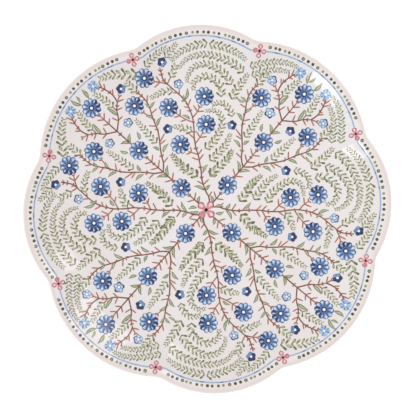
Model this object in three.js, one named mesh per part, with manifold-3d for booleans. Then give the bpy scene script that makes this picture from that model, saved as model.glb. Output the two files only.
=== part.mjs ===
// A scalloped china dinner plate: a one-piece body with a foot ring, its glaze, and the painted
// blossoms and rim line that are fired onto the glaze. Millimetres, +Z up, origin at the centre of
// the foot's resting plane. Narrow lobes lie on +X, +Y, -X and -Y, and wide lobes between them.
import * as THREE from "three";
import { mergeVertices } from "three/addons/utils/BufferGeometryUtils.js";
import Module from "manifold-3d";

const wasm = await Module();
wasm.setup();

// Outline: eight round lobes. Each is a disc of this radius whose centre lies this far out.
const WIDE_LOBE = { out: 53.5, radius: 81.5, steps: 8 };
const NARROW_LOBE = { out: 60.8, radius: 73.4, steps: 8 };
const RIM_RADIUS = WIDE_LOBE.out + WIDE_LOBE.radius;
const NOTCH_ROUNDING = 2.2;
const NOTCH_ANGLE = THREE.MathUtils.degToRad(20.9); // from a narrow lobe's middle to its notch
const ROUND_WITHIN = 80; // inside this radius the plate is truly round
const LOBED_BEYOND = 126; // outside this radius it follows the lobes fully

// Meridian of the bare body's face: flat well, parabolic wall, parabolic flare.
const WELL_HEIGHT = 7.2;
const WELL_RADIUS = 86;
const WALL_RADIUS = 126;
const WALL_SLOPE = 0.72;
const FLARE_SLOPE = 0.2;
const WELL_THICKNESS = 4.4;
const LIP_THICKNESS = 3.4;
const BARE_RADIUS = 134.75; // of the body's own lip, under the glaze
const FACE_RADII = [30, 62, 86, 94, 102, 110, 117, 123, 126.8, 127.8]; // from the well to the lip

// Foot ring, below the flat base.
const BASE_HEIGHT = WELL_HEIGHT - WELL_THICKNESS;
const FOOT = { inside: 75.2, outside: 82.2, flatFrom: 76.8, flatTo: 80.6, bareHeight: 0.9 };

// Coatings.
const GLAZE = RIM_RADIUS - BARE_RADIUS;
const ENAMEL = 0.12;
const RIM_LINE = { from: 126.8, to: 127.8 };
const RIM_BLOSSOM = { out: 119.6, petal: 5.4, waist: 1.7 };
const CENTRE_BLOSSOM = { out: 0, petal: 7.0, waist: 2.4 };
const BLOSSOM_AT = 22.5; // degrees from a narrow lobe's middle
const BLOSSOM_LEAN = 8; // degrees that its petals are turned, towards that middle

const COLOURS = { clay: 0xd9c7b4, glaze: 0xefe9e6, blue: 0x8fb2d6, pink: 0xd98a96 };

// ---- outline -------------------------------------------------------------------------------

// Distance from the middle to the far side of a lobe's disc, at an angle from the lobe's middle.
function discEdge(lobe, angle) {
  const across = lobe.out * Math.sin(angle);
  return lobe.out * Math.cos(angle) + Math.sqrt(lobe.radius ** 2 - across ** 2);
}

// The larger of two distances, with the corner between them rounded.
function roundedLarger(a, b) {
  const near = Math.max(NOTCH_ROUNDING - Math.abs(a - b), 0) / NOTCH_ROUNDING;
  return Math.max(a, b) + (near * near * NOTCH_ROUNDING) / 4;
}

// Radius of the rim at an angle from +X.
function rimRadius(angle) {
  const quarter = Math.PI / 2;
  const fromNarrow = angle - quarter * Math.round(angle / quarter);
  const fromWide = quarter / 2 - Math.abs(fromNarrow);
  return roundedLarger(discEdge(NARROW_LOBE, fromNarrow), discEdge(WIDE_LOBE, fromWide));
}

// A radius on the meridian, drawn in towards the notches by as much as the lobes reach there.
function lobed(radius, angle) {
  const share = THREE.MathUtils.smoothstep(radius, ROUND_WITHIN, LOBED_BEYOND);
  return radius * (1 + share * (rimRadius(angle) / RIM_RADIUS - 1));
}

// Angles round the plate, with one on every notch and every lobe's middle.
function anglesRound() {
  const angles = [];
  for (let quarter = 0; quarter < 4; quarter++) {
    const narrow = (quarter * Math.PI) / 2;
    const spans = [
      [narrow - NOTCH_ANGLE, narrow + NOTCH_ANGLE, NARROW_LOBE.steps],
      [narrow + NOTCH_ANGLE, narrow + Math.PI / 2 - NOTCH_ANGLE, WIDE_LOBE.steps],
    ];
    for (const [from, to, steps] of spans)
      for (let i = 0; i < steps; i++) angles.push(THREE.MathUtils.lerp(from, to, i / steps));
  }
  return angles;
}
const ANGLES = anglesRound();

// ---- meridian ------------------------------------------------------------------------------

const LIP_LEAN = Math.atan(FLARE_SLOPE);
const LIP_RADIUS = LIP_THICKNESS / 2;
const FACE_END = BARE_RADIUS - LIP_RADIUS - LIP_RADIUS * Math.sin(LIP_LEAN);

// Height and slope of the bare body's face at a radius on the meridian.
function face(radius) {
  const wall = THREE.MathUtils.clamp(radius, WELL_RADIUS, WALL_RADIUS) - WELL_RADIUS;
  const width = WALL_RADIUS - WELL_RADIUS;
  const flare = Math.max(radius - WALL_RADIUS, 0);
  const easing = (FLARE_SLOPE - WALL_SLOPE) / (FACE_END - WALL_RADIUS);
  return {
    height: WELL_HEIGHT + (WALL_SLOPE * wall ** 2) / (2 * width) + WALL_SLOPE * flare + (easing * flare ** 2) / 2,
    slope: (WALL_SLOPE * wall) / width + easing * flare,
  };
}

// A point of the face, moved down through the body by a depth.
function facePoint(radius, depth = 0) {
  const { height, slope } = face(radius);
  const lean = Math.atan(slope);
  return new THREE.Vector2(radius + depth * Math.sin(lean), height - depth * Math.cos(lean));
}

function thickness(radius) {
  const share = THREE.MathUtils.smoothstep(radius, WELL_RADIUS, FACE_END);
  return THREE.MathUtils.lerp(WELL_THICKNESS, LIP_THICKNESS, share);
}

// The bare body's meridian, from the middle of the face, over the lip and down to the foot.
function outerMeridian() {
  const top = [0, ...FACE_RADII, FACE_END].map((radius) => facePoint(radius));
  const centre = facePoint(FACE_END, LIP_RADIUS);
  const lipSteps = 5;
  const lip = [];
  for (let i = 1; i < lipSteps; i++) {
    const angle = Math.PI / 2 + LIP_LEAN - (i / lipSteps) * Math.PI;
    lip.push(centre.clone().add(new THREE.Vector2(Math.cos(angle), Math.sin(angle)).multiplyScalar(LIP_RADIUS)));
  }
  const under = [FACE_END, 129.5, 126, 119, 111, 102, 94, 86].map((radius) =>
    facePoint(radius, thickness(radius)),
  );
  const foot = [
    new THREE.Vector2(FOOT.outside, BASE_HEIGHT - 0.3),
    new THREE.Vector2(FOOT.flatTo + 0.4, FOOT.bareHeight),
  ];
  return [...top, ...lip, ...under, ...foot];
}

// The bare body's meridian inside the foot ring, from the foot to the middle of the base.
function innerMeridian() {
  return [
    new THREE.Vector2(FOOT.flatFrom - 0.4, FOOT.bareHeight),
    new THREE.Vector2(FOOT.inside, BASE_HEIGHT - 0.2),
    new THREE.Vector2(FOOT.inside - 2, BASE_HEIGHT),
    new THREE.Vector2(0, BASE_HEIGHT),
  ];
}

// A meridian moved outwards, to the left of its direction of travel, by a distance.
function movedOut(points, distance) {
  return points.map((point, i) => {
    const before = points[Math.max(i - 1, 0)];
    const after = points[Math.min(i + 1, points.length - 1)];
    const along = after.clone().sub(before).normalize();
    const moved = point.clone().add(new THREE.Vector2(-along.y, along.x).multiplyScalar(distance));
    if (point.x === 0) moved.x = 0;
    if (i === points.length - 1 && point.x > 0) moved.y = point.y; // the coat ends level with the clay
    if (i === 0 && point.x > 0) moved.y = point.y;
    return moved;
  });
}

// ---- solids --------------------------------------------------------------------------------

// The closed surface that a closed meridian sweeps round the axis, drawn in at the notches.
// A point on the axis is one vertex, and every other point is a ring of them.
function sweptRound(meridian) {
  const positions = [];
  const rings = meridian.map((point) => {
    const first = positions.length / 3;
    if (point.x === 0) positions.push(0, 0, point.y);
    else
      for (const angle of ANGLES) {
        const radius = lobed(point.x, angle);
        positions.push(radius * Math.cos(angle), radius * Math.sin(angle), point.y);
      }
    return { first, radius: point.x, count: point.x === 0 ? 1 : ANGLES.length };
  });
  const faces = [];
  rings.forEach((ring, i) => {
    const next = rings[(i + 1) % rings.length];
    const outward = next.radius > ring.radius || (next.radius === ring.radius && next.first > ring.first);
    for (let k = 0; k < ANGLES.length; k++) {
      const [a, b] = [0, 1].map((j) => ring.first + ((k + j) % ring.count));
      const [c, d] = [0, 1].map((j) => next.first + ((k + j) % next.count));
      // Both ways along a meridian, the same diagonal divides the same four corners.
      const pair = outward ? [[a, c, b], [b, c, d]] : [[a, c, d], [a, d, b]];
      for (const corners of pair) if (new Set(corners).size === 3) faces.push(...corners);
    }
  });
  return new THREE.BufferGeometry()
    .setAttribute("position", new THREE.Float32BufferAttribute(positions, 3))
    .setIndex(faces);
}

// A coat of a thickness over a meridian: out along its outside, back along the meridian.
function coat(meridian, depth) {
  return [...movedOut(meridian, depth), ...meridian.slice().reverse()];
}

function toSolid(geometry) {
  const bare = geometry.index ? geometry.clone() : geometry;
  bare.deleteAttribute("normal");
  bare.deleteAttribute("uv");
  const merged = mergeVertices(bare, 1e-4);
  return new wasm.Manifold(
    new wasm.Mesh({
      numProp: 3,
      vertProperties: merged.attributes.position.array,
      triVerts: new Uint32Array(merged.index.array),
    }),
  );
}

function toGeometry(solid) {
  const mesh = solid.getMesh();
  return new THREE.BufferGeometry()
    .setAttribute("position", new THREE.BufferAttribute(mesh.vertProperties, 3))
    .setIndex(new THREE.BufferAttribute(mesh.triVerts, 1));
}

// A four-petalled outline: wide on the petals, narrow between them.
function blossomShape({ petal, waist }) {
  const steps = 40;
  const points = [];
  for (let i = 0; i < steps; i++) {
    const angle = (i / steps) * 2 * Math.PI;
    const radius = waist + (petal - waist) * Math.abs(Math.cos(2 * angle)) ** 0.6;
    points.push(new THREE.Vector2(radius * Math.cos(angle), radius * Math.sin(angle)));
  }
  return new THREE.Shape(points);
}

// An upright prism through the plate on a blossom's outline, at an angle round the plate.
function blossomPrism(size, at, lean = 0) {
  const [angle, turn] = [at, at + lean].map(THREE.MathUtils.degToRad);
  const prism = new THREE.ExtrudeGeometry(blossomShape(size), { depth: 60, bevelEnabled: false, steps: 1 });
  prism.rotateZ(turn);
  prism.translate(size.out * Math.cos(angle), size.out * Math.sin(angle), -10);
  return toSolid(prism);
}

// The lengths of the rim line from blossom to blossom, in order round the plate. The specks that are
// left between a blossom's petals go.
function lineLengths(line, prisms) {
  const round = (solid) => {
    const box = solid.boundingBox();
    const angle = Math.atan2(box.min[1] + box.max[1], box.min[0] + box.max[0]);
    return (angle + 2 * Math.PI + 1e-6) % (2 * Math.PI);
  };
  const pieces = prisms.reduce((left, prism) => left.subtract(prism), line).decompose();
  return pieces.filter((piece) => piece.volume() > 1).sort((a, b) => round(a) - round(b));
}

function part(name, geometry, color, roughness) {
  const mesh = new THREE.Mesh(geometry, new THREE.MeshStandardMaterial({ color, roughness, metalness: 0 }));
  mesh.name = name;
  return mesh;
}

// ---- assembly ------------------------------------------------------------------------------

const outside = outerMeridian();
const inside = innerMeridian();
const footFlat = [new THREE.Vector2(FOOT.flatTo, 0), new THREE.Vector2(FOOT.flatFrom, 0)];
const glazed = movedOut(outside, GLAZE);
const faceCount = FACE_RADII.length + 1; // the points of the glazed face, short of the lip
const sheet = toSolid(sweptRound(coat(glazed.slice(0, faceCount + 1), ENAMEL)));
const line = glazed.filter((_, i) => [RIM_LINE.from, RIM_LINE.to].includes(outside[i].x));
const prisms = [0, 90, 180, 270].flatMap((narrow) => [
  blossomPrism(RIM_BLOSSOM, narrow - BLOSSOM_AT, BLOSSOM_LEAN),
  blossomPrism(RIM_BLOSSOM, narrow + BLOSSOM_AT, -BLOSSOM_LEAN),
]);
const centrePrism = blossomPrism(CENTRE_BLOSSOM, 45);

const plate = new THREE.Group();
plate.add(part("plate_body", sweptRound([...outside, ...footFlat, ...inside]), COLOURS.clay, 0.85));
plate.add(part("glaze_coat", sweptRound(coat(outside, GLAZE)), COLOURS.glaze, 0.12));
plate.add(part("base_glaze", sweptRound(coat(inside, GLAZE)), COLOURS.glaze, 0.12));
plate.add(part("centre_blossom", toGeometry(sheet.intersect(centrePrism)), COLOURS.pink, 0.2));
prisms.forEach((prism, i) =>
  plate.add(part(`rim_blossom_${i + 1}`, toGeometry(sheet.intersect(prism)), COLOURS.pink, 0.2)),
);
lineLengths(toSolid(sweptRound(coat(line, ENAMEL))), prisms).forEach((length, i) =>
  plate.add(part(`rim_line_${i + 1}`, toGeometry(length), COLOURS.blue, 0.2)),
);

export default plate;
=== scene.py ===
"""Looks for a scalloped china dinner plate: a bare clay foot, a clear-white glaze, and a spray of
painted blossoms, stems, leaves and fronds fired onto it. Lengths are in millimetres until a mesh
is made. Narrow lobes lie on the X and Y axes and wide lobes between them."""

import math
import random

import bpy
import numpy as np
from mathutils import Matrix, Vector


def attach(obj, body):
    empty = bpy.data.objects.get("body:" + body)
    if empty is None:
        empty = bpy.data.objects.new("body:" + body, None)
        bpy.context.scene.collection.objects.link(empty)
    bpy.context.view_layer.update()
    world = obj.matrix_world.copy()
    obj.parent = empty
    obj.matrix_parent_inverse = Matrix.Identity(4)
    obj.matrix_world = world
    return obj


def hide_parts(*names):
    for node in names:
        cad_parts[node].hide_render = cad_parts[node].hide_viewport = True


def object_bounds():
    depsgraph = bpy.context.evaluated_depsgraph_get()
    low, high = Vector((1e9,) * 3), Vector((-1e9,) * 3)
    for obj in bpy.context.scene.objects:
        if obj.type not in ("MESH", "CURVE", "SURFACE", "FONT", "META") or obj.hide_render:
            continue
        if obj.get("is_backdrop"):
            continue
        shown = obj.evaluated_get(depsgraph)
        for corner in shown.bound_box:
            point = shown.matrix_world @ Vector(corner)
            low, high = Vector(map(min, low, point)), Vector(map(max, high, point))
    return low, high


MM = 0.001
BODY = "root"

# ---- the plate's form ----

WIDE_LOBE = {"out": 53.5, "radius": 81.5}
NARROW_LOBE = {"out": 60.8, "radius": 73.4}
RIM_RADIUS = 135.0
NOTCH_ROUNDING = 2.2
ROUND_WITHIN = 80.0
LOBED_BEYOND = 126.0

WELL_HEIGHT = 7.2
WELL_RADIUS = 86.0
WALL_RADIUS = 126.0
WALL_SLOPE = 0.72
FLARE_SLOPE = 0.2
WELL_THICKNESS = 4.4
LIP_THICKNESS = 3.4
BARE_RADIUS = 134.75
BASE_HEIGHT = WELL_HEIGHT - WELL_THICKNESS
FOOT_INSIDE, FOOT_OUTSIDE = 75.2, 82.2
FLAT_FROM, FLAT_TO = 76.8, 80.6
BARE_HEIGHT = 0.9
GLAZE = RIM_RADIUS - BARE_RADIUS

LIP_LEAN = math.atan(FLARE_SLOPE)
LIP_RADIUS = LIP_THICKNESS / 2
FACE_END = BARE_RADIUS - LIP_RADIUS * (1 + math.sin(LIP_LEAN))
ROUND_STEPS = 360
ON_AXIS = 1e-6  # a meridian radius up to this is one point, not a ring

# The painted line inside the rim has its own two discs, and gaps for the blossoms at the notches.
WIDE_LINE = {"out": 53.5, "radius": 74.2}
NARROW_LINE = {"out": 60.8, "radius": 65.2}
NOTCH_AT = 22.5  # degrees from a narrow lobe's axis
LINE_GAP = 2.3  # degrees from a notch to the line's end


def unit(angle):
    """The unit vector at an angle, or one for each of many angles."""
    return np.stack([np.cos(angle), np.sin(angle)], axis=-1)


def smoothstep(value, low, high):
    share = np.clip((value - low) / (high - low), 0, 1)
    return share * share * (3 - 2 * share)


def disc_edge(lobe, angle):
    across = lobe["out"] * np.sin(angle)
    return lobe["out"] * np.cos(angle) + np.sqrt(lobe["radius"] ** 2 - across**2)


def lobed_curve(wide, narrow, angle):
    """Radius at an angle from +X of a curve of eight lobes with rounded notches."""
    quarter = math.pi / 2
    from_narrow = angle - quarter * np.round(angle / quarter)
    from_wide = quarter / 2 - np.abs(from_narrow)
    a = disc_edge(narrow, from_narrow)
    b = disc_edge(wide, from_wide)
    near = np.maximum(NOTCH_ROUNDING - np.abs(a - b), 0) / NOTCH_ROUNDING
    return np.maximum(a, b) + near * near * NOTCH_ROUNDING / 4


def rim_radius(angle):
    return lobed_curve(WIDE_LOBE, NARROW_LOBE, angle)


def lobed_share(radius, angle):
    """What a meridian radius is multiplied by, at an angle, to follow the lobes."""
    share = smoothstep(radius, ROUND_WITHIN, LOBED_BEYOND)
    return 1 + share * (rim_radius(angle) / RIM_RADIUS - 1)


def face(radius):
    """Height and slope of the bare body's face at a meridian radius."""
    width = WALL_RADIUS - WELL_RADIUS
    wall = np.clip(radius, WELL_RADIUS, WALL_RADIUS) - WELL_RADIUS
    flare = np.maximum(radius - WALL_RADIUS, 0)
    easing = (FLARE_SLOPE - WALL_SLOPE) / (FACE_END - WALL_RADIUS)
    height = WELL_HEIGHT + WALL_SLOPE * wall**2 / (2 * width)
    height = height + WALL_SLOPE * flare + easing * flare**2 / 2
    return height, WALL_SLOPE * wall / width + easing * flare


def face_points(radius, depth):
    """Points of the face moved down through the body, square to it."""
    height, slope = face(radius)
    lean = np.arctan(slope)
    return np.stack([radius + depth * np.sin(lean), height - depth * np.cos(lean)], axis=-1)


FACE_TABLE = face_points(np.linspace(0, FACE_END, 4000), -GLAZE)  # the glaze's radii and heights
SETTLING_STEPS = 14


def glaze_height(points):
    """Height of the glazed face over points (x, y). The steps settle on their meridian radii."""
    away = np.hypot(points[:, 0], points[:, 1])
    angle = np.arctan2(points[:, 1], points[:, 0])
    radius = away.copy()
    for _ in range(SETTLING_STEPS):
        radius = away / lobed_share(radius, angle)
    return np.interp(radius, FACE_TABLE[:, 0], FACE_TABLE[:, 1])


# ---- meshes ----


def add_object(name, vertices, faces, smooth, material):
    mesh = bpy.data.meshes.new(name)
    mesh.from_pydata((np.asarray(vertices) * MM).tolist(), [], faces)
    mesh.polygons.foreach_set("use_smooth", [smooth] * len(mesh.polygons))
    mesh.materials.append(material)
    mesh.update()
    piece = bpy.data.objects.new(name, mesh)
    bpy.context.scene.collection.objects.link(piece)
    return piece


def finish_piece(piece, slot, *replaced):
    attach(piece, BODY)
    if replaced:
        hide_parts(*replaced)
    return piece


def swept_round(name, meridian, material):
    """The closed surface that a closed meridian sweeps round the axis, drawn in at the notches."""
    angles = np.arange(ROUND_STEPS) * 2 * math.pi / ROUND_STEPS
    vertices, rings = [], []
    for radius, height in meridian:
        rings.append((len(vertices), radius > ON_AXIS))
        if radius > ON_AXIS:
            ring_points = radius * lobed_share(radius, angles)[:, None] * unit(angles)
            vertices += [(x, y, height) for x, y in ring_points.tolist()]
        else:
            vertices.append((0.0, 0.0, height))
    faces = []
    for index, (first, is_ring) in enumerate(rings):
        second, next_is_ring = rings[(index + 1) % len(rings)]
        if not is_ring and not next_is_ring:
            continue
        for k in range(ROUND_STEPS):
            n = (k + 1) % ROUND_STEPS
            corners = [first + k * is_ring, second + k * next_is_ring]
            corners += [second + n * next_is_ring, first + n * is_ring]
            faces.append(tuple(dict.fromkeys(corners)))
    return add_object(name, vertices, faces, True, material)


def moved_out(points, distance):
    """A polyline moved to the left of its direction of travel."""
    before = np.roll(points, 1, axis=0)
    after = np.roll(points, -1, axis=0)
    before[0], after[-1] = points[0], points[-1]
    along = after - before
    along /= np.linalg.norm(along, axis=1)[:, None]
    moved = points + distance * np.stack([-along[:, 1], along[:, 0]], axis=-1)
    moved[points[:, 0] == 0, 0] = 0
    return moved


def rounded_corner(start, corner, end, steps=6):
    """Points on the curve that rounds a corner."""
    t = np.linspace(0, 1, steps)[:, None]
    start, corner, end = (np.array(p, float) for p in (start, corner, end))
    return (1 - t) ** 2 * start + 2 * t * (1 - t) * corner + t**2 * end


def outer_meridian():
    """The bare body from the middle of its face, over the lip and down to the foot."""
    radii = np.concatenate([
        np.linspace(0, WELL_RADIUS, 12),
        np.linspace(WELL_RADIUS, WALL_RADIUS, 38)[1:],
        np.linspace(WALL_RADIUS, FACE_END, 14)[1:],
    ])
    top = face_points(radii, 0)
    centre = face_points(np.array([FACE_END]), LIP_RADIUS)[0]
    turn = math.pi / 2 + LIP_LEAN - np.linspace(0, math.pi, 15)[1:-1]
    lip = centre + LIP_RADIUS * unit(turn)
    under_radii = np.linspace(FACE_END, WELL_RADIUS + 1, 34)
    share = smoothstep(under_radii, WELL_RADIUS, FACE_END)
    depth = WELL_THICKNESS + share * (LIP_THICKNESS - WELL_THICKNESS)
    under = np.array([face_points(np.array([r]), d)[0] for r, d in zip(under_radii, depth)])
    foot = rounded_corner(
        (FOOT_OUTSIDE + 1.6, BASE_HEIGHT), (FOOT_OUTSIDE - 0.3, BASE_HEIGHT - 0.1),
        (FLAT_TO + 0.5, BARE_HEIGHT),
    )
    return np.concatenate([top, lip, under, foot])


def inner_meridian():
    """The bare body inside the foot ring, from the foot to the middle of the base."""
    corner = rounded_corner(
        (FLAT_FROM - 0.5, BARE_HEIGHT), (FOOT_INSIDE + 0.2, BASE_HEIGHT - 0.1),
        (FOOT_INSIDE - 2.5, BASE_HEIGHT),
    )
    flat = np.array([(r, BASE_HEIGHT) for r in (60.0, 40.0, 20.0, 0.0)])
    return np.concatenate([corner, flat])


def coat(meridian):
    """A glaze's closed meridian over the bare one, which ends level above the foot."""
    outside = moved_out(meridian, GLAZE)
    foot_end = 0 if meridian[0, 0] > 0 else -1
    outside[foot_end, 1] = BARE_HEIGHT
    return np.concatenate([outside, meridian[::-1]])


def foot_meridian():
    """The bare resting face, between its two rounded edges."""
    outer = (FLAT_TO + 0.5, BARE_HEIGHT), (FLAT_TO + 0.4, 0), (FLAT_TO - 0.5, 0)
    inner = (FLAT_FROM + 0.5, 0), (FLAT_FROM - 0.4, 0), (FLAT_FROM - 0.5, BARE_HEIGHT)
    return np.concatenate([rounded_corner(*outer)[1:], rounded_corner(*inner)[:-1]])


def make_plate(materials):
    outside, inside = outer_meridian(), inner_meridian()
    whole = np.concatenate([outside, foot_meridian(), inside])
    body = swept_round("clay_body", whole, materials["clay"])
    finish_piece(body, "bare_clay", "plate_body")
    glaze = swept_round("face_glaze", coat(outside), materials["glaze"])
    finish_piece(glaze, "glaze", "glaze_coat")
    base = swept_round("foot_well_glaze", coat(inside), materials["glaze"])
    finish_piece(base, "glaze", "base_glaze")


# ---- paint ----


class Paint:
    """Patches and strokes of fired colour that lie on the glaze and make up one piece."""

    SUNK = 0.15  # how far a patch's underside reaches into the glaze

    def __init__(self, lift, crown):
        self.lift, self.crown = lift, crown
        self.points, self.heights, self.faces = [], [], []

    def _add(self, points, heights):
        first = len(self.heights)
        self.points += [tuple(p) for p in points]
        self.heights += list(heights)
        return first

    def patch(self, outline, rings=1):
        """A closed patch over an outline that its middle sees all of."""
        outline = np.asarray(outline, float)
        after = np.roll(outline, -1, axis=0)
        if np.sum(outline[:, 0] * after[:, 1] - outline[:, 1] * after[:, 0]) < 0:
            outline = outline[::-1]
        count = len(outline)
        middle = outline.mean(axis=0)
        first = None
        for k in range(rings):
            inner = self._add(middle + (outline - middle) * (1 - k / rings), [self.lift] * count)
            for a in range(count if k else 0):
                b = (a + 1) % count
                self.faces.append((last + a, last + b, inner + b, inner + a))
            first = inner if first is None else first
            last = inner
        top = self._add([middle, middle], [self.lift + self.crown, -self.SUNK])
        for k in range(count):
            n = (k + 1) % count
            self.faces += [(top, last + k, last + n), (top + 1, first + n, first + k)]

    def petal(self, centre, towards, inner, outer, width, fullness=0.64, steps=10):
        """A petal from an inner to an outer distance from its blossom's centre."""
        start, end = centre + towards * inner, centre + towards * outer
        self.patch(oval(start, end, width, fullness, steps))

    def dot(self, centre, radius, steps=12):
        self.patch(ring(centre, radius, steps))

    def stroke(self, path, widths):
        """A closed ribbon along a path, with a width at each point."""
        path = np.asarray(path, float)
        widths = np.broadcast_to(np.asarray(widths, float), len(path))
        along = np.gradient(path, axis=0)
        along /= np.linalg.norm(along, axis=1)[:, None]
        side = np.stack([-along[:, 1], along[:, 0]], axis=-1) * (widths / 2)[:, None]
        section = [self.lift, self.lift + self.crown, self.lift, -self.SUNK]
        rings = [self._add([p + s, p, p - s, p], section) for p, s in zip(path, side)]
        for a, b in zip(rings, rings[1:]):
            for k in range(4):
                n = (k + 1) % 4
                self.faces.append((a + k, a + n, b + n, b + k))
        self.faces.append(tuple(rings[0] + k for k in (3, 2, 1, 0)))
        self.faces.append(tuple(rings[-1] + k for k in range(4)))

    def make(self, name, material, slot, *replaced):
        points = np.array(self.points)
        heights = glaze_height(points) + np.array(self.heights)
        vertices = np.column_stack([points, heights])
        return finish_piece(add_object(name, vertices, self.faces, False, material), slot, *replaced)


class Lobe:
    """Places points (out, side) of a lobe's drawing on the plate. Side is to the left, looking out."""

    def __init__(self, axis, mirrored, out, left, scale):
        angle = math.radians(axis)
        self.flip = -1 if mirrored else 1
        self.scale = scale
        self.out = unit(angle)
        self.side = np.array([-self.out[1], self.out[0]]) * self.flip
        self.start = out * self.out + left * self.side * self.flip

    def __call__(self, points):
        return self.start + self.turn(points) * self.scale

    def turn(self, vectors):
        """Vectors of the drawing, turned with it."""
        vectors = np.asarray(vectors, float)
        return vectors[..., :1] * self.out + vectors[..., 1:] * self.side

    def heading(self, vector):
        """The angle that a vector of the drawing points at on the plate."""
        out = self.turn(vector)
        return math.atan2(out[1], out[0])


class Half:
    """The same drawing, mirrored across a lobe's own axis when flip is -1."""

    def __init__(self, lobe, flip):
        self.lobe, self.mirror = lobe, np.array([1, flip])
        self.flip = lobe.flip * flip

    def __call__(self, points):
        return self.lobe(np.asarray(points, float) * self.mirror)


def smooth_path(points, per_span=5):
    """A Catmull-Rom curve through points."""
    points = np.asarray(points, float)
    padded = np.vstack([2 * points[0] - points[1], points, 2 * points[-1] - points[-2]])
    t = np.linspace(0, 1, per_span, endpoint=False)[:, None]
    spans = []
    for a, b, c, d in zip(padded, padded[1:], padded[2:], padded[3:]):
        spans.append(
            0.5 * (2 * b + (c - a) * t + (2 * a - 5 * b + 4 * c - d) * t**2
                   + (3 * b - a - 3 * c + d) * t**3)
        )
    return np.vstack(spans + [points[-1:]])


def walk(path, share):
    """The point and direction at a share of a path's length."""
    steps = np.linalg.norm(np.diff(path, axis=0), axis=1)
    reach = np.concatenate([[0], np.cumsum(steps)])
    at = np.clip(share, 0, 1) * reach[-1]
    index = min(max(int(np.searchsorted(reach, at, side="right")) - 1, 0), len(steps) - 1)
    along = (path[index + 1] - path[index]) / steps[index]
    return path[index] + along * (at - reach[index]), along


def spread(count, phase, hand, offset=0.0):
    """Unit vectors evenly round a blossom, in turn towards one hand."""
    return [unit(phase + (k + offset) * 2 * math.pi / count * hand) for k in range(count)]


def ray(start, vector, shares):
    """Points at shares of a vector from a start."""
    return start + np.outer(shares, vector)


def turned(vector, degrees):
    c, s = math.cos(math.radians(degrees)), math.sin(math.radians(degrees))
    return np.array([c * vector[0] - s * vector[1], s * vector[0] + c * vector[1]])


def oval(start, end, width, fullness, steps=8):
    """An outline from start to end, widest at a share of its length."""
    start, end = np.asarray(start, float), np.asarray(end, float)
    along = end - start
    across = np.array([-along[1], along[0]]) / np.linalg.norm(along)
    t = np.linspace(0, 1, steps // 2 + 1)
    bulge = np.sin(math.pi * t ** (math.log(0.5) / math.log(fullness))) ** 0.75
    left = start + t[:, None] * along + bulge[:, None] * across * width / 2
    right = start + t[:, None] * along - bulge[:, None] * across * width / 2
    return np.vstack([right, left[-2:0:-1]])


def ring(centre, radius, steps=12, phase=0.0):
    turn = np.arange(steps) * 2 * math.pi / steps + phase
    return np.asarray(centre) + radius * unit(turn)


# ---- the painter's set ----

PALETTE = {  # name: (lift of the layer, crown, slot, colour where thin, colour where thick)
    "frond_leaves": (0.05, 0.03, "green_enamel", (190, 190, 158), (164, 166, 130)),
    "frond_shades": (0.07, 0.03, "green_enamel", (156, 160, 122), (130, 134, 98)),
    "frond_veins": (0.10, 0.02, "green_enamel", (118, 119, 87), (84, 85, 60)),
    "leaves": (0.05, 0.03, "green_enamel", (142, 150, 116), (106, 116, 84)),
    "leaf_lights": (0.09, 0.02, "green_enamel", (196, 200, 170), (166, 172, 138)),
    "twigs": (0.06, 0.02, "brown_enamel", (178, 123, 102), (146, 94, 76)),
    "stems": (0.07, 0.02, "brown_enamel", (172, 120, 103), (138, 90, 76)),
    "stem_shades": (0.10, 0.01, "brown_enamel", (104, 62, 52), (78, 44, 38)),
    "blossom_grounds": (0.08, 0.01, "blue_enamel", (92, 119, 167), (66, 90, 140)),
    "blue_petals": (0.10, 0.02, "blue_enamel", (130, 160, 200), (92, 126, 176)),
    "deep_petals": (0.13, 0.02, "blue_enamel", (48, 64, 108), (32, 44, 84)),
    "sky_petals": (0.16, 0.02, "blue_enamel", (176, 199, 223), (144, 175, 210)),
    "blossom_mids": (0.19, 0.02, "blue_enamel", (112, 144, 190), (86, 116, 166)),
    "pale_petals": (0.22, 0.01, "blue_enamel", (212, 223, 235), (176, 198, 223)),
    "blossom_eyes": (0.24, 0.02, "glaze", (250, 248, 248), (238, 239, 243)),
    "red_edges": (0.07, 0.01, "pink_enamel", (178, 78, 92), (146, 54, 68)),
    "pink_petals": (0.10, 0.02, "pink_enamel", (215, 150, 157), (194, 119, 130)),
    "blush_petals": (0.14, 0.01, "pink_enamel", (238, 212, 212), (228, 188, 190)),
    "black_eyes": (0.18, 0.02, "black_enamel", (40, 22, 24), (14, 8, 10)),
    "dark_dots": (0.07, 0.03, "green_enamel", (88, 88, 58), (58, 58, 38)),
    "light_dots": (0.05, 0.03, "green_enamel", (168, 168, 134), (142, 144, 108)),
    "rim_line": (0.06, 0.01, "blue_enamel", (170, 188, 214), (138, 162, 198)),
    "line_dashes": (0.08, 0.01, "blue_enamel", (112, 136, 184), (84, 104, 156)),
}

PAINT = {name: Paint(*row[:2]) for name, row in PALETTE.items()}

STEM_WIDTH, TWIG_WIDTH, LEAF_WIDTH = 1.08, 1.0, 2.0
BIG_RADIUS, BIG_PETALS = 7.1, 10
CENTRE_REACH, RIM_REACH = 7.8, 5.05  # from a pink blossom's middle to its petals' tips
WIDE_SHADE = (-0.64, -0.77)  # towards the dark petals of a big blossom, in a lobe's drawing
NARROW_SHADE = (-0.34, -0.94)

BRUSH = random.Random(11)  # how far the painter strays from one petal to the next


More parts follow.
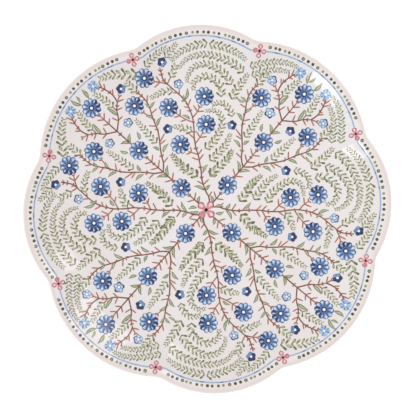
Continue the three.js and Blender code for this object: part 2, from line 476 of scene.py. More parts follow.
def stem(place, points, kind="stems"):
    """A curve through points: a stem with darker dashes along it, or a long twig."""
    path = place(smooth_path(points))
    width = STEM_WIDTH if kind == "stems" else TWIG_WIDTH
    PAINT[kind].stroke(path, np.linspace(width, 0.8 * width, len(path)))
    at = 0
    while kind == "stems" and at < len(path) - 3:
        dash = path[at:at + BRUSH.randint(5, 10)]
        swell = np.sin(np.linspace(0.4, math.pi - 0.4, len(dash)))
        PAINT["stem_shades"].stroke(dash, 0.46 * width * swell)
        at += len(dash) - 1


def twigs(place, rows):
    """Straight twigs, each a row of where it starts and ends: out, side, out, side."""
    for row in rows:
        path = place(np.linspace(row[:2], row[2:], 4))
        PAINT["twigs"].stroke(path, np.array([0.8, 1.0, 1.0, 0.7]) * TWIG_WIDTH)


def tapered(paint, apex, towards, *marks):
    """A stroke along a leaf, through marks (share of its length, width as a share of that)."""
    shares, widths = zip(*marks)
    paint.stroke(ray(apex, towards, shares), np.array(widths) * np.linalg.norm(towards))


def full_leaf(apex, towards, start, width, fullness, spot):
    """An oval leaf with a dark spot near its tip, measured in shares of its length."""
    size = np.linalg.norm(towards)
    outline = oval(apex + start * towards, apex + 1.02 * towards, width * size, fullness)
    PAINT["frond_leaves"].patch(outline)
    PAINT["frond_veins"].dot(apex + spot * towards, 0.13 * size, 7)


def dark_pair(apex, along, size, hand):
    """A slender leaf and a fuller one, both with dark tips and dark stalks."""
    slender, full = size * turned(along, 50 * hand), size * turned(along, -50 * hand)
    shades, veins = PAINT["frond_shades"], PAINT["frond_veins"]
    tapered(shades, apex, slender, (0, 0.14), (0.3, 0.26), (0.75, 0.37), (0.95, 0.32), (1.04, 0.12))
    tapered(veins, apex, slender, (0.45, 0.08), (0.75, 0.27), (1.0, 0.16))
    full_leaf(apex, full, 0.12, 0.5, 0.62, 0.86)
    tapered(shades, apex, full, (-0.02, 0.2), (0.25, 0.24), (0.55, 0.1))
    tapered(veins, apex, slender, (-0.05, 0.14), (0.1, 0.2), (0.28, 0.06))


def light_pair(apex, along, size, hand):
    """A full pale leaf with a dark tip, and a slender one with a dark middle."""
    full, slender = size * turned(along, 32 * hand), size * turned(along, -44 * hand)
    pale, veins = PAINT["frond_leaves"], PAINT["frond_veins"]
    full_leaf(apex, full, 0.08, 0.54, 0.58, 0.88)
    tapered(pale, apex, slender, (0.02, 0.12), (0.3, 0.25), (0.75, 0.38), (0.95, 0.34), (1.02, 0.14))
    tapered(veins, apex, slender, (0.15, 0.1), (0.45, 0.26), (0.72, 0.1))


def frond(place, points, big=4.3, small=2.0, hand=1, loose=1.0):
    """Pairs of leaves along a curve, smaller towards its tip, by turns dark and light."""
    path = place(smooth_path(points))
    length = np.sum(np.linalg.norm(np.diff(path, axis=0), axis=1))
    hand *= place.flip
    gone, dark = 0.0, True
    while gone < length:
        size = big + (small - big) * (gone / length) ** 2
        apex, along = walk(path, gone / length)
        draw = dark_pair if dark else light_pair
        draw(apex, along, size, hand)
        gone += loose * size * (0.62 if dark else 0.9)
        dark = not dark


def leaves(place, rows):
    """Slender leaves, lighter along the middle. Each is a row of out, side, out, side, which way
    and how far it bends, and its width if it isn't the usual one."""
    for x, y, end_x, end_y, bend, *width in rows:
        width = width[0] if width else LEAF_WIDTH
        start, end = np.array([x, y]), np.array([end_x, end_y])
        across = np.array([y - end_y, end_x - x])
        path = place(smooth_path([start, (start + end) / 2 + bend * across, end]))
        swell = np.sin(math.pi * np.linspace(0, 1, len(path)) ** 0.85)
        PAINT["leaves"].stroke(path, np.maximum(1.2 * width * swell, 0.3))
        light = np.maximum(0.42 * width * swell**2, 0.15)
        PAINT["leaf_lights"].stroke(path[2:-2], light[2:-2])


def dark_petal(centre, out, aside, reach):
    """A navy petal with a blue sliver and a pale gleam to one side."""
    PAINT["deep_petals"].petal(centre - aside, out, 2.9, BIG_RADIUS - 0.1, 2.9, 0.68)
    PAINT["blossom_mids"].petal(centre + 1.6 * aside, out, 2.8, reach - 0.4, 1.5)
    gleam = ray(centre + 2.2 * aside, out, (4.0, 5.2, 6.3))
    PAINT["pale_petals"].stroke(gleam, [0.3, 0.75, 0.5])


def light_petal(centre, out, aside, reach):
    """A blue petal with a pale middle and a deeper vein near the eye."""
    PAINT["blue_petals"].petal(centre, out, 1.9, reach + 0.1, 3.0, 0.7)
    width = BRUSH.uniform(1.8, 2.4)
    PAINT["pale_petals"].petal(centre + aside, out, 3.3, reach, width, 0.74)
    vein = ray(centre, out, (2.2, 3.1, 4.1)) - 0.5 * aside
    PAINT["blossom_mids"].stroke(vein, [0.7, 0.5, 0.2])


def big_blossom(lobe, at, shaded):
    """Ten petals round a white eye, parted by navy strokes, and three of them dark.
    The petals are numbered round from the shaded side."""
    centre, phase = lobe(at), lobe.heading(shaded)
    turn = phase + np.arange(BIG_PETALS * 6) * math.pi / (BIG_PETALS * 3)
    dip = (1 - np.abs(np.sin(BIG_PETALS / 2 * (turn - phase)))) ** 1.5
    edge = (BIG_RADIUS - 1.3 * dip)[:, None] * unit(turn)
    PAINT["blossom_grounds"].patch(centre + edge, 3)
    middles = spread(BIG_PETALS, phase, lobe.flip, 0.5)
    partings = spread(BIG_PETALS, phase, lobe.flip)
    for k, (out, parting) in enumerate(zip(middles, partings)):
        aside = 0.3 * lobe.flip * np.array([-out[1], out[0]])
        reach = BIG_RADIUS - BRUSH.uniform(0.2, 0.7)
        draw = dark_petal if k in (0, 1, BIG_PETALS - 1) else light_petal
        draw(centre, out, aside, reach)
        stroke = ray(centre, parting, np.linspace(2.9, BIG_RADIUS * BRUSH.uniform(0.84, 0.92), 4))
        strength = 1 if min(k, BIG_PETALS - 1 - k) < 3 else 0.85
        PAINT["deep_petals"].stroke(stroke, np.array([0.4, 0.6, 0.6, 0.5]) * strength)
    PAINT["deep_petals"].dot(centre + 0.1 * unit(phase), 2.1)
    PAINT["blossom_eyes"].dot(centre, 1.05)


def star_blossom(lobe, at, shaded):
    """A pale star of five petals in a blue outline, with dark tips on three of them."""
    centre, radius = lobe(at), 4.35
    for k, out in enumerate(spread(5, lobe.heading(shaded), lobe.flip)):
        dark = k in (0, 1, 3)
        ground = "deep_petals" if dark else "blossom_grounds"
        PAINT[ground].petal(centre, out, 0.1, radius, 3.5, 0.6)
        reach = radius - (1.2 if dark else 0.45)
        PAINT["sky_petals"].petal(centre, out, 0.2, reach, 2.9, 0.6)
        PAINT["pale_petals"].petal(centre, out, 1.2, reach - 0.3, 1.5, steps=8)
    PAINT["blossom_mids"].dot(centre, 1.45)
    PAINT["blossom_eyes"].dot(centre, 0.95)


def small_blossom(lobe, at, kind, shaded):
    """Five petals round a white eye: nearly all dark, or pale with dark edges on some."""
    centre, radius = lobe(at), 3.75
    for k, out in enumerate(spread(5, lobe.heading(shaded), lobe.flip)):
        dark = k in (0, 1, 4) if kind == "dark" else k in (0, 1)
        ground = "deep_petals" if dark else "blossom_grounds"
        PAINT[ground].petal(centre, out, 0.1, radius, 3.4, 0.6)
        if kind == "pale":
            reach = radius - (0.9 if dark else 0.3)
            PAINT["sky_petals"].petal(centre, out, 0.6, reach, 2.5, 0.58)
            PAINT["pale_petals"].petal(centre, out, 1.5, reach - 0.3, 1.5, steps=8)
        elif not dark:
            PAINT["blue_petals"].petal(centre, out, 0.6, radius - 0.3, 2.6, 0.6)
    if kind == "pale":
        PAINT["blossom_mids"].dot(centre, 1.3)
    PAINT["blossom_eyes"].dot(centre, 0.9)


def sky_blossom(place, at):
    """Four soft petals round a white eye, each with a stroke or two of deeper blue."""
    centre = place(at)
    for turn in (45, 135, 225, 315):
        out = place(np.array(at) + unit(math.radians(turn))) - centre
        PAINT["sky_petals"].petal(centre, out, 0.0, 4.1, 4.1, 0.62)
        edge = ray(centre, turned(out, 25 * place.flip), (0.9, 2.4, 3.5, 4.0))
        PAINT["blossom_mids"].stroke(edge, [0.5, 0.9, 1.0, 0.4])
        if turn > 180:
            edge = ray(centre, turned(out, -22 * place.flip), (1.6, 2.8, 3.8))
            PAINT["blossom_mids"].stroke(edge, [0.4, 0.8, 0.4])
    PAINT["blossom_eyes"].dot(centre, 0.8)


def pink_blossom(centre, first, reach, solid):
    """Four oval petals with red edges and pale middles round a black eye. One petal is solid."""
    for k in range(4):
        out = unit(math.radians(first + 90 * k))
        width = 0.7 * reach
        PAINT["red_edges"].petal(centre, out, 0, reach, width, steps=12)
        PAINT["pink_petals"].petal(centre, out, -0.1 * reach, 0.93 * reach, 0.85 * width, steps=12)
        if k != solid:
            PAINT["blush_petals"].petal(centre, out, 0.36 * reach, 0.84 * reach, 0.46 * width)
    PAINT["black_eyes"].dot(centre, 0.16 * reach, 10)


# ---- the drawing on a wide lobe ----


def wide_axis(lobe):
    """The stem along a wide lobe's axis, with the blossoms it joins and its paired twigs."""
    for start, end in ((6.5, 18), (31, 59), (72, 105)):
        stem(lobe, [(start, 0), ((start + end) / 2, 0), (end, 0)])
    for flip in (1, -1):
        half = Half(lobe, flip)
        twigs(half, [
            (12, 0, 14.9, 4.6), (16.2, 0, 17.4, 1.4), (33.5, 0, 36.7, 4.7), (47, 0, 50.3, 4.8),
            (53.3, 0, 56.3, 4.4), (57.2, 0, 58.4, 1.3), (83, 0, 84.2, 1.6), (94.6, 0, 97.2, 3.4),
            (99.3, 0, 102.6, 3.7), (103.6, 0, 104.6, 1.4), (31.6, 0, 32.8, 1.3),
            (50.7, 0, 51.7, 1.2),
        ])
        leaves(half, [
            (37.6, 0.6, 43.3, 6.2, -0.15), (74.3, 0.6, 79.0, 5.3, -0.15),
            (70.6, 6.2, 76.0, 9.2, 0.1),
        ])
    leaves(lobe, [(6.8, 3.2, 10.9, 8.0, -0.15), (8.2, -0.6, 11.0, -4.8, 0.15)])
    for out in (24.9, 65.9, 111.5):
        big_blossom(lobe, (out, 0.0), WIDE_SHADE)
    end = Half(lobe, -1 if lobe.out[0] > 0 else 1)
    leaves(end, [
        (118.0, 3.2, 126.6, 6.3, 0.12, 2.2), (119.8, 3.0, 125.2, 1.5, -0.1, 1.6),
        (117.4, -3.7, 125.4, -4.6, -0.08, 2.4),
    ])


def wide_branch(half):
    """The long branch on one side of a wide lobe's axis, up to its side frond."""
    stem(half, [
        (42.3, 0), (46.5, 5), (50.3, 7.6), (54, 10.5), (57.3, 13.4), (61.5, 17.2), (65.8, 20.3),
        (69, 22), (73, 24), (76.5, 26), (80, 28.2), (84, 30), (89, 30.9), (95.3, 30.7),
    ])
    stem(half, [(73.3, 24), (77.5, 23.5), (82.4, 22.8)], "twigs")
    twigs(half, [
        (46.6, 5.3, 46.9, 10.4), (50.5, 7.8, 52.2, 6.9), (50.3, 7.8, 50.6, 10),
        (57.3, 13.6, 56.5, 18.5), (58.2, 14, 60.2, 21.8), (64, 19, 65.7, 21),
        (66.2, 20.5, 67.4, 19), (68, 21.7, 72.4, 18.3), (71.5, 23.2, 72.4, 25),
        (76.8, 26.3, 76.2, 31.2), (81.3, 23.1, 82.7, 24.5), (81.3, 23.1, 82.5, 21.3),
        (84.6, 30.2, 87.8, 34.2), (90, 30.9, 91.4, 32.4), (90, 30.9, 91.3, 29.4),
        (93, 30.8, 94.8, 32.4), (93, 30.8, 94.8, 29.3), (86.8, 30.6, 88, 29.3),
    ])
    leaves(half, [
        (51.8, 10.6, 53.1, 18.2, -0.12), (54.8, 9.9, 60, 8.5, 0.12),
        (67.6, 22.2, 69.7, 29.2, -0.12), (73.7, 24.2, 78.7, 22.2, 0.12),
        (80.2, 28.2, 85.2, 28.4, 0.1, 1.7), (79.8, 28.8, 80.6, 34.4, -0.1, 1.7),
    ])
    frond(half, [(95.3, 30.6), (99, 30.7), (104.3, 30.5)], 4.4, 2.6)


def wide_crown(half):
    """The forked branch below a wide lobe's rim, which ends at the sky-blue blossom."""
    stem(half, [(86.7, 0), (89, 3.2), (91.3, 6.4), (94, 9), (97, 11.2), (100.7, 15.8)])
    stem(half, [(100.7, 15.8), (104, 16.9), (108, 17.3), (113, 16.4), (117, 15), (119.4, 13.8)])
    twigs(half, [
        (91.3, 6.3, 91.2, 10.9), (91.3, 6.3, 96.1, 4.8), (97.2, 11, 95.3, 15.5),
        (97.2, 11, 100.6, 11), (98.8, 13.4, 100.4, 13.2), (98.8, 13.4, 98, 15),
        (100.7, 16, 98.7, 20.4), (100.7, 15.8, 102.2, 19.8), (102.1, 19.6, 103.8, 20.5),
        (102.1, 19.6, 101.7, 21.9), (106, 17.2, 109.3, 20.3), (108.3, 17.3, 110, 18.6),
        (108.3, 17.3, 110.1, 15.9), (113, 16.5, 116.4, 18.8), (113.3, 16.3, 114.4, 13.4),
        (115.2, 15.7, 120, 17.3), (116.9, 15, 116.5, 12.7), (118.7, 14.1, 120.2, 14.9),
    ])
    leaves(half, [(94.2, 8.6, 103.3, 7.4, 0.06, 2.2)])
    sky_blossom(half, (120.8, 12.1))


def wide_fronds(half):
    frond(half, [(21.6, 14), (29, 13.9), (37, 13.1), (46.3, 14)], 4.3, 1.8, loose=1.3)
    frond(half, [(60, 12.8), (66, 13.3), (74, 14.3), (82.5, 15.3)], 4.0, 1.7, loose=1.1)
    frond(half, [(100.7, 11), (106, 11), (112, 10.1), (117, 8.6)], 3.9, 2.0)


def wide_lobe(lobe):
    """All that is painted on a wide lobe. Its small blossoms differ from one lobe to the next."""
    wide_axis(lobe)
    for flip in (1, -1):
        half = Half(lobe, flip)
        wide_branch(half)
        wide_crown(half)
        wide_fronds(half)
        big_blossom(lobe, (89.7, 22.1 * flip), WIDE_SHADE)
        small_blossom(lobe, (60.5, 25.8 * flip), "dark", (0.8, 0.6))
        if lobe.flip < 0:
            small_blossom(lobe, (104.3, 24.4 * flip), "pale", (1, 0))
            frond(half, [
                (101.2, 43.2), (104.2, 41.2), (107.8, 38.3), (110.5, 36), (113.5, 33), (116.2, 30),
                (118.5, 26.5), (120.6, 22.8), (122.3, 17),
            ], 3.6, 1.9)
            frond(half, [
                (97.3, 38), (102.5, 35.2), (105.5, 32.8), (108, 30.8), (110.5, 28.5), (113, 25),
                (116, 19.5),
            ], 3.5, 1.9)
        else:
            small_blossom(lobe, (85.1, 10.0 * flip), "pale", (-0.8, -0.6))
            frond(half, [
                (103.7, 39.8), (106.7, 36.5), (109.7, 34), (112.7, 31.3), (115.2, 28.5),
                (117.7, 25), (120.7, 19.5),
            ], 5.2, 2.4)
    if lobe.flip < 0:
        swap = 1 if lobe.out[1] < 0 else -1
        star_blossom(lobe, (85.4, 10.4 * swap), (-0.8, 0.6))
        small_blossom(lobe, (84.8, -9.6 * swap), "dark", (1, 0))
    else:
        small_blossom(lobe, (104.9, -24.6), "dark", (0.8, 0.6))
        if lobe.out[0] > 0:
            small_blossom(lobe, (104.4, 23.9), "dark", (0.8, -0.6))


# ---- the drawing on a narrow lobe ----


def narrow_stem(lobe):
    stem(lobe, [
        (5.5, -2), (9.5, -1.6), (12.5, -0.2), (15.5, 0.9), (18.5, 1.6), (23, 2.4), (28, 2.4),
        (34, 2.9), (40.5, 3.7), (45, 4.9), (48.5, 5.2), (53.5, 5.6), (59, 5.2), (64, 5.3),
        (68, 5.7), (73, 7), (77, 8.4), (80, 10), (82.7, 12), (85, 14), (87.3, 16.3), (90.5, 19.5),
        (93, 22.2), (94.7, 27.2),
    ])
    stem(lobe, [(93, 22.2), (96.5, 24.8), (100, 25.8), (105, 26.8)])
    stem(lobe, [(64, 5.4), (66.5, 10.3), (69.4, 14.6), (71.8, 17.4)], "twigs")
    stem(lobe, [(48.5, 5.2), (52.9, 1.3), (56, -0.8)], "twigs")
    stem(lobe, [(67.5, 5.6), (71.6, 1.8), (75.6, -0.2)], "twigs")
    stem(lobe, [(40.4, 3.7), (42.4, 8.4), (43.2, 10.6)], "twigs")


def narrow_twigs(lobe):
    """The twigs and the single leaves along a narrow lobe's stems."""
    twigs(lobe, [
        (9.5, -1.6, 12.9, -4.2), (18.5, 1.6, 21.4, 5.8), (18.5, 1.6, 22, -2.7),
        (22.7, 2.4, 24.4, 3.7), (22.7, 2.4, 24.5, 1.1), (27, 2.4, 27.4, 0.9),
        (30.2, 2.6, 31.7, 4.1), (30.2, 2.6, 31.6, 1.2), (36.3, 3.2, 38.6, 8.3),
        (36.3, 3.2, 40.4, -0.1), (40.3, 3.7, 44.2, 0.5), (42.4, 8.4, 41.2, 12.3),
        (42.4, 8.4, 46.5, 8.7), (44.2, 4.7, 45.3, 6.6), (44.2, 4.7, 45.8, 3.2),
        (52.2, 5.6, 56, 8.9), (56.8, 5.4, 57.6, 6.8), (56.2, 5.4, 57.4, 4.3),
        (63.6, 5.3, 64.5, 4.2), (71.9, 6.8, 73.1, 9.1), (71.9, 6.8, 73.6, 5.8),
        (75, 7.6, 75.9, 11.2), (76.5, 8.2, 78.5, 9.7), (76.5, 8.2, 81.2, 5.9),
        (80.2, 10.3, 79.9, 12.8), (86.3, 15.3, 86.5, 18.3), (93, 22.2, 97.4, 19.6),
        (95.2, 23.8, 97.4, 23.3), (95.4, 24, 95.6, 26), (99.6, 25.7, 100.1, 28),
        (99.6, 25.7, 100.7, 24.4), (102, 26.3, 103.7, 28.3), (102, 26.3, 103.7, 24.7),
        (94.7, 27.2, 99, 30), (94.7, 27.2, 91.2, 31.6), (94.7, 27.2, 95.3, 31.3),
        (95.2, 30.9, 96.9, 32.1), (95.2, 30.9, 94.4, 32.6), (85, 14, 88.9, 13.7),
        (52.8, 1.3, 53, -3.7), (52.8, 1.3, 57.5, 3.7), (71.6, 1.8, 71.7, -3.1),
        (71.6, 1.8, 76.5, 4.3), (74.7, 0.2, 74.8, -2), (74.7, 0.2, 76.8, 1),
        (66.4, 10.3, 65.3, 14.5), (69.4, 14.6, 74.3, 14), (69.4, 14.6, 68.7, 19.2),
    ])
    leaves(lobe, [
        (14.3, 1.2, 17.8, 8.5, -0.12), (13.8, 0, 17.9, -3.5, 0.12), (27.3, 1.0, 32.8, -3, 0.12),
        (66.6, 7.6, 69.9, 13, -0.12, 1.7), (79.2, 10.1, 84.6, 10.8, 0.1, 1.8),
        (80.8, 9.8, 89.3, 7.8, -0.1), (75.8, -32.6, 79.6, -27.6, 0.1, 1.4),
        (79.6, -28, 79.3, -23.6, 0.0, 1.4),
    ])


def narrow_fronds(lobe):
    """The low fronds beside the stem, then those that sweep over the lobe from the other side."""
    for points, *looks in (
        ([(25, 5.8), (27.7, 9), (32.2, 15.5), (41.8, 23)], 4.9, 1.8, -1),
        ([(25.3, -4.3), (30.8, -11), (35.5, -17), (41.5, -21.2)], 4.9, 1.8),
        ([(35.5, -4.7), (41, -11.2), (46, -16.8), (53.2, -20.6)], 4.5, 1.8),
        ([(44.7, -1.8), (48.8, -8), (55, -12.6), (61.5, -15.7), (68, -14.6), (71.3, -11),
          (71.7, -5)], 4.3, 1.7),
        ([(66.3, -23), (69.7, -22.3), (75.3, -18.7), (76.8, -14), (75.6, -9)], 3.6, 2.0),
        ([(57.3, 7.2), (59.7, 11), (62, 19)], 4.2, 1.8),
        ([(87.3, 18.8), (88.2, 24), (84.4, 34)], 3.6, 2.0),
        ([(97.7, 19.4), (101, 17.5), (107.3, 14.6)], 4.0, 2.4),
        ([(111.8, 22.4), (115, 19.3), (121, 13.6)], 3.6, 1.7),
        ([(106.2, 37.4), (111.3, 32.3), (115.8, 26.3), (118.3, 21.4)], 4.0, 1.7),
        ([(81.3, -16.2), (88.5, -16.4), (95, -10.6), (96.6, -4), (92.5, 3), (87.3, 3.3)], 4.4, 2.0),
        ([(79, -23.7), (85.5, -27.8), (91, -32.5), (95.6, -36.6)], 4.8, 1.9),
        ([(89.4, -24.2), (96.5, -20.5), (102, -14.2), (105.3, -6.5), (103.8, 2), (98, 6.8),
          (93.8, 7.6)], 4.3, 1.7),
        ([(97.5, -33.3), (103.2, -27.7), (108.3, -18.8), (111.8, -8), (111.6, 1), (109, 8),
          (104.3, 12.4)], 4.3, 1.7),
        ([(119, -10.2), (116, -20.5), (110.5, -30.3), (105.7, -35.5)], 4.1, 2.0),
        ([(119.9, -8.4), (118.5, 1.5), (115, 11), (109.3, 18.2)], 4.1, 2.0, -1),
    ):
        frond(lobe, points, *looks)


def narrow_lobe(lobe):
    narrow_stem(lobe)
    narrow_twigs(lobe)
    narrow_fronds(lobe)
    for at in ((98.1, 38.5), (76.1, 22.3), (82.3, -4.1), (61.9, -3.8), (48.7, 16.1)):
        big_blossom(lobe, at, NARROW_SHADE)
    small_blossom(lobe, (108.6, 24.9), "dark", (0.7, 0.7))
    small_blossom(lobe, (92.5, 14.0), "pale", (0.94, -0.34))


# ---- the rim ----


def around(radius_at, start, end, count):
    """Points on a closed curve round the plate, between two angles in degrees."""
    angles = np.radians(np.linspace(start, end, count))
    return radius_at(angles)[:, None] * unit(angles)


def line_radius(angle):
    return lobed_curve(WIDE_LINE, NARROW_LINE, angle)


def dot_radius(angle):
    """The dots keep a little further from the line at the notches."""
    return line_radius(angle) + 2.4 + np.sin(4 * angle) ** 8


def rim_line():
    """The line from blossom to blossom, with short darker dashes where the brush pressed."""
    wash = random.Random(4)
    for narrow in (0, 90, 180, 270):
        notches = (narrow - NOTCH_AT, narrow + NOTCH_AT, narrow + 90 - NOTCH_AT)
        for start, end in zip(notches, notches[1:]):
            start, end = start + LINE_GAP, end - LINE_GAP
            path = around(line_radius, start, end, 60)
            widths = [0.96 + wash.uniform(-0.1, 0.1) for _ in path]
            PAINT["rim_line"].stroke(path, widths)
            at = start + wash.uniform(4, 7)
            while at < end - 3:
                length = wash.uniform(1.0, 2.2)
                dash = around(line_radius, at, at + length, 6)
                PAINT["line_dashes"].stroke(dash, [0.2, 0.6, 0.75, 0.7, 0.5, 0.2])
                at += length + wash.uniform(3.5, 9)


DOTS_OUT = 126.0
LOBE_DOTS = (  # distance to the left of a lobe's axis, and tone
    (43, "ring"), (39, "shaded"), (36, "dark"), (32, "light"), (28.9, "shaded"), (24.7, "light"),
    (22, "light"), (18, "ring"), (14, "dark"), (10.2, "dark"), (6, "pale ring"), (1.5, "light"),
    (-2, "shaded"), (-6.4, "shaded"), (-9.8, "dark"), (-13.8, "light"), (-17.4, "shaded"),
    (-22, "light"), (-25, "light"), (-28, "ring"), (-32, "dark"), (-35.6, "dark"), (-39, "pale ring"),
)


def rim_dots():
    """Painted dots outside the line: dark, light, half shaded, or rings with a light middle."""
    for axis in range(0, 360, 45):
        for aside, tone in LOBE_DOTS:
            angle = math.radians(axis) + aside / DOTS_OUT
            out = unit(angle)
            at = dot_radius(np.array(angle)) * out
            if tone == "light":
                PAINT["light_dots"].dot(at, 1.05, 9)
                PAINT["dark_dots"].dot(at + 0.35, 0.4, 7)
            elif tone == "shaded":
                PAINT["light_dots"].dot(at, 1.14, 9)
                PAINT["dark_dots"].dot(at + 0.2 * out, 0.9, 9)
            elif tone == "dark":
                PAINT["dark_dots"].dot(at, 1.16, 10)
            else:
                reach = 0.98 if tone == "ring" else 0.92
                PAINT["dark_dots"].stroke(ring(at, reach, 13, angle), 0.6)
                PAINT["light_dots"].dot(at, 0.8, 8)


def pink_blossoms():
    """One at the centre, and one at each notch with its petals leaning to the narrow lobe."""
    pink_blossom(np.array([-0.5, -0.4]), 45, CENTRE_REACH, 2)
    for narrow in (0, 90, 180, 270):
        solid = 1 if narrow in (90, 270) else 3
        for side, lean in ((-NOTCH_AT, 8), (NOTCH_AT, -8)):
            angle = math.radians(narrow + side)
            at = line_radius(np.array(angle)) * unit(angle)
            pink_blossom(at, narrow + side + lean, RIM_REACH, solid)


LOBES = (  # axis, whether mirrored, then how far the spray is out, to the left, and its scale
    (134.34, False, -0.84, 0.70, 1.009), (315.68, False, -0.23, -1.21, 1.010),
    (45.63, True, -1.60, -0.25, 1.003), (224.45, True, -1.81, -0.02, 1.018),
    (90.14, False, -0.40, -0.47, 1.009), (269.97, False, 0.82, -1.07, 1.0),
    (178.75, True, 0.41, 1.75, 1.001), (0.84, True, -0.49, -0.70, 1.007),
)


def decorate(materials):
    """All the painting, lobe by lobe and then the rim, made into one piece for each colour."""
    for k, placing in enumerate(LOBES):
        draw = wide_lobe if k < 4 else narrow_lobe
        draw(Lobe(*placing))
    rim_line()
    rim_dots()
    pink_blossoms()
    replaced = {
        "red_edges": ["centre_blossom"] + [f"rim_blossom_{k}" for k in range(1, 9)],
        "rim_line": [f"rim_line_{k}" for k in range(1, 9)],
    }
    for name, row in PALETTE.items():
        PAINT[name].make(name, materials[name], row[2], *replaced.get(name, []))


# ---- materials ----


CLAY_PALE, CLAY_DEEP, CLAY_SPECK = (214, 198, 176), (190, 170, 146), (116, 88, 66)
GLAZE_COOL, GLAZE_WARM = (231, 225, 226), (229, 221, 220)
GLAZE_LIP, GLAZE_SPECK = (221, 207, 202), (176, 160, 146)
LIP_FROM, LIP_TO = 24.2, 25.2  # heights between which the glaze turns warmer
RIPPLE_SIZE, RIPPLE_DEPTH = 16, 0.015  # the soft unevenness of a fired glaze
GLOSS = 1.5  # index of refraction


def linear(red, green, blue):
    """A colour in scene values, from its red, green and blue out of 255."""
    parts = []
    for value in (red, green, blue):
        value /= 255
        parts.append(value / 12.92 if value <= 0.04045 else ((value + 0.055) / 1.055) ** 2.4)
    return (*parts, 1.0)


class Recipe:
    """The nodes of one material, built up step by step."""

    def __init__(self, name):
        self.material = bpy.data.materials.new(name)
        self.material.use_nodes = True
        self.tree = self.material.node_tree
        self.tree.nodes.clear()
        self.shader = self.node("BsdfPrincipled")
        output = self.node("OutputMaterial")
        self.link(self.shader.outputs["BSDF"], output.inputs["Surface"])
        self.place = self.node("TexCoord").outputs["Object"]

    def node(self, kind):
        return self.tree.nodes.new("ShaderNode" + kind)

    def link(self, source, target):
        self.tree.links.new(source, target)

    def noise(self, size, detail=2.0):
        """Soft noise whose blotches are about a size across, in millimetres."""
        node = self.node("TexNoise")
        node.inputs["Scale"].default_value = 1 / (size * MM)
        node.inputs["Detail"].default_value = detail
        self.link(self.place, node.inputs["Vector"])
        return node.outputs["Fac"]

    def height(self):
        """Height above the floor, in metres."""
        node = self.node("SeparateXYZ")
        self.link(self.place, node.inputs["Vector"])
        return node.outputs["Z"]

    def remap(self, value, low, high, to_low=0.0, to_high=1.0):
        """A value's run from low to high, stretched over another and held at its ends."""
        node = self.node("MapRange")
        limits = {"From Min": low, "From Max": high, "To Min": to_low, "To Max": to_high}
        for name, number in limits.items():
            node.inputs[name].default_value = number
        self.link(value, node.inputs["Value"])
        return node.outputs["Result"]

    def shades(self, value, low, high):
        """A colour that runs from low to high (position, colour) as a value rises."""
        node = self.node("ValToRGB")
        for element, (position, shade) in zip(node.color_ramp.elements, (low, high)):
            element.position = position
            element.color = linear(*shade)
        self.link(value, node.inputs["Fac"])
        return node.outputs["Color"]

    def mix(self, share, ground, shade):
        """A ground with a share of a plain colour over it."""
        node = self.node("Mix")
        node.data_type = "RGBA"
        self.link(share, node.inputs["Factor"])
        self.link(ground, node.inputs[6])
        node.inputs[7].default_value = linear(*shade)
        return node.outputs[2]

    def bump(self, value, depth, after=None):
        """Relief of a depth in millimetres, over the relief that a bump before it gave."""
        node = self.node("Bump")
        node.inputs["Strength"].default_value = 1.0
        node.inputs["Distance"].default_value = depth * MM
        self.link(value, node.inputs["Height"])
        if after is not None:
            self.link(after, node.inputs["Normal"])
        return node.outputs["Normal"]

    def ripple(self):
        return self.bump(self.noise(RIPPLE_SIZE, 1), RIPPLE_DEPTH)

    def finish(self, colour, roughness, normal):
        self.link(colour, self.shader.inputs["Base Color"])
        self.link(roughness, self.shader.inputs["Roughness"])
        self.link(normal, self.shader.inputs["Normal"])
        self.shader.inputs["IOR"].default_value = GLOSS
        return self.material


def clay_material():
    """Buff stoneware with iron specks, left dry where the plate stood in the kiln."""
    recipe = Recipe("bare_clay")
    ground = recipe.shades(recipe.noise(9, 4), (0.3, CLAY_PALE), (0.7, CLAY_DEEP))
    specks = recipe.remap(recipe.noise(0.9, 1), 0.68, 0.74)
    colour = recipe.mix(specks, ground, CLAY_SPECK)
    grain = recipe.noise(0.35, 6)
    roughness = recipe.remap(grain, 0.3, 0.7, 0.72, 0.92)
    return recipe.finish(colour, roughness, recipe.bump(grain, 0.12))


def glaze_material():
    """Clear white glaze, turning warmer and darker towards the top of the lip."""
    recipe = Recipe("glaze")
    cloud = recipe.noise(38, 3)
    ground = recipe.shades(cloud, (0.35, GLAZE_COOL), (0.65, GLAZE_WARM))
    lip = recipe.remap(recipe.height(), LIP_FROM * MM, LIP_TO * MM)
    colour = recipe.mix(lip, ground, GLAZE_LIP)
    specks = recipe.remap(recipe.noise(1.6, 0), 0.76, 0.82, 0, 0.2)
    colour = recipe.mix(specks, colour, GLAZE_SPECK)
    pores = recipe.bump(recipe.noise(1.3, 2), 0.004, recipe.ripple())
    return recipe.finish(colour, recipe.remap(cloud, 0.3, 0.7, 0.07, 0.12), pores)


def enamel_material(name, thin, thick):
    """A brushed colour on the glaze, pale where the brush left little and deep where it pooled."""
    recipe = Recipe(name)
    wash = recipe.noise(1.6, 3)
    colour = recipe.shades(wash, (0.36, thick), (0.64, thin))
    roughness = recipe.remap(recipe.noise(6, 2), 0.3, 0.7, 0.08, 0.16)
    recipe.shader.inputs["Specular IOR Level"].default_value = 0.15 if name == "black_eyes" else 0.5
    return recipe.finish(colour, roughness, recipe.bump(wash, 0.01, recipe.ripple()))


def make_materials():
    materials = {"clay": clay_material(), "glaze": glaze_material()}
    for name, row in PALETTE.items():
        materials[name] = enamel_material(name, *row[3:])
    return materials


# ---- studio ----


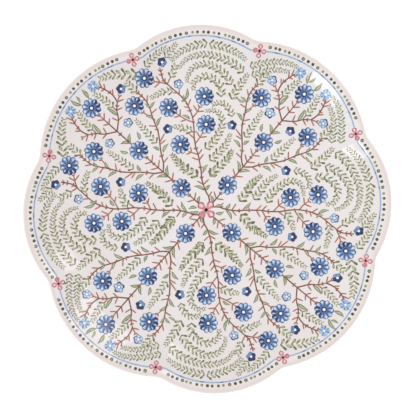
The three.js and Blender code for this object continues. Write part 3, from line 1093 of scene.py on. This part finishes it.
FLOOR_RADIUS, FLOOR_SIDES, FLOOR_LEVEL = 2500, 24, -0.2
FLOOR_GREY, FLOOR_WHITE = (250, 250, 250), (253, 253, 253)
FLOOR_GLOW = 0.35
WORLD_RADIANCE = 0.85
DAYLIGHT = (0.98, 1.0, 1.02)
SKYLIGHT = (0.85, 1.0, 1.03)
LAMPLIGHT = (1.0, 0.96, 0.93)
LIGHT_DISTANCE = 1.2
LIGHTS = (  # name, azimuth, elevation, width and height in metres, radiance and tint
    ("window_light", 219.5, 32.5, 0.43, 0.2, 7.0, DAYLIGHT),
    ("window_edge", 194.5, 25, 0.08, 0.1, 2.2, DAYLIGHT),
    ("left_fill", 200, 9, 1.2, 0.22, 4.4, SKYLIGHT),
    ("reflector", 41, 38, 0.62, 0.62, 2.8, LAMPLIGHT),
)

LENS, SENSOR = 200, 36
CAMERA_AZIMUTH, CAMERA_TILT = 212, 3.6
CAMERA_UP = 85.7
CAMERA_DISTANCE = 1.672
CAMERA_SHIFT = (0.0, 0.001)
CAMERA_RANGE = (0.05, 50)


def floor_material():
    """Matt white with a fine grain, and a little glow so that it stays white in the render."""
    recipe = Recipe("studio_floor")
    blotches = recipe.noise(400, 2)
    ground = recipe.shades(blotches, (0.3, FLOOR_GREY), (0.7, FLOOR_WHITE))
    grain = recipe.noise(2, 3)
    recipe.shader.inputs["Emission Color"].default_value = (1, 1, 1, 1)
    recipe.shader.inputs["Emission Strength"].default_value = FLOOR_GLOW
    roughness = recipe.remap(grain, 0.3, 0.7, 0.8, 0.95)
    return recipe.finish(ground, roughness, recipe.bump(grain, 0.02))


def make_floor():
    """A wide flat disc just under the foot."""
    vertices = [(x, y, FLOOR_LEVEL) for x, y in ring((0, 0), FLOOR_RADIUS, FLOOR_SIDES)]
    sides = [tuple(range(FLOOR_SIDES))]
    add_object("studio_floor", vertices, sides, False, floor_material())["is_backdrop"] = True


def direction(azimuth, elevation):
    """A unit vector from the plate, from two angles in degrees."""
    a, e = math.radians(azimuth), math.radians(elevation)
    return Vector((math.cos(a) * math.cos(e), math.sin(a) * math.cos(e), math.sin(e)))


def softbox(name, azimuth, elevation, width, height, radiance, tint):
    """A soft rectangular light that faces the plate and gives the same radiance all over."""
    data = bpy.data.lights.new(name, "AREA")
    data.color = tint
    data.shape = "RECTANGLE"
    data.size, data.size_y = width, height
    data.energy = radiance * math.pi * width * height
    light = bpy.data.objects.new(name, data)
    towards = direction(azimuth, elevation)
    light.location = towards * LIGHT_DISTANCE
    light.rotation_mode = "QUATERNION"
    light.rotation_quaternion = towards.to_track_quat("Z", "Y")
    bpy.context.scene.collection.objects.link(light)


def make_light():
    world = bpy.data.worlds.new("studio")
    world.use_nodes = True
    background = world.node_tree.nodes["Background"]
    background.inputs["Color"].default_value = (1, 1, 1, 1)
    background.inputs["Strength"].default_value = WORLD_RADIANCE
    bpy.context.scene.world = world
    for light in LIGHTS:
        softbox(*light)


def make_camera():
    """Looks almost straight down, from where the photograph was taken."""
    data = bpy.data.cameras.new("camera")
    data.lens = LENS
    data.sensor_width = SENSOR
    data.clip_start, data.clip_end = CAMERA_RANGE
    camera = bpy.data.objects.new("camera", data)
    target = Vector((0, 0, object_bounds()[1][2]))
    back = direction(CAMERA_AZIMUTH, 90 - CAMERA_TILT)
    up = direction(CAMERA_UP, 0)
    right = up.cross(back).normalized()
    above = back.cross(right)
    camera.matrix_world = Matrix(
        [[right[k], above[k], back[k], target[k] + back[k] * CAMERA_DISTANCE] for k in range(3)]
        + [[0, 0, 0, 1]]
    )
    data.shift_x, data.shift_y = CAMERA_SHIFT
    bpy.context.scene.collection.objects.link(camera)
    bpy.context.scene.camera = camera


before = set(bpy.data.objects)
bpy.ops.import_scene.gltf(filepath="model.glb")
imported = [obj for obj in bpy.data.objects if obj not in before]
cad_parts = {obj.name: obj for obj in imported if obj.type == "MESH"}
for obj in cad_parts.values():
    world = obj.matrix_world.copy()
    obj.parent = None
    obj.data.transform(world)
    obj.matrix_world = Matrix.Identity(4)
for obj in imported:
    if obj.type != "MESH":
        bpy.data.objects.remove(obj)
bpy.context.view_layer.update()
materials = make_materials()
make_plate(materials)
decorate(materials)
make_floor()
make_light()
bpy.context.scene.view_settings.view_transform = "Standard"
make_camera()
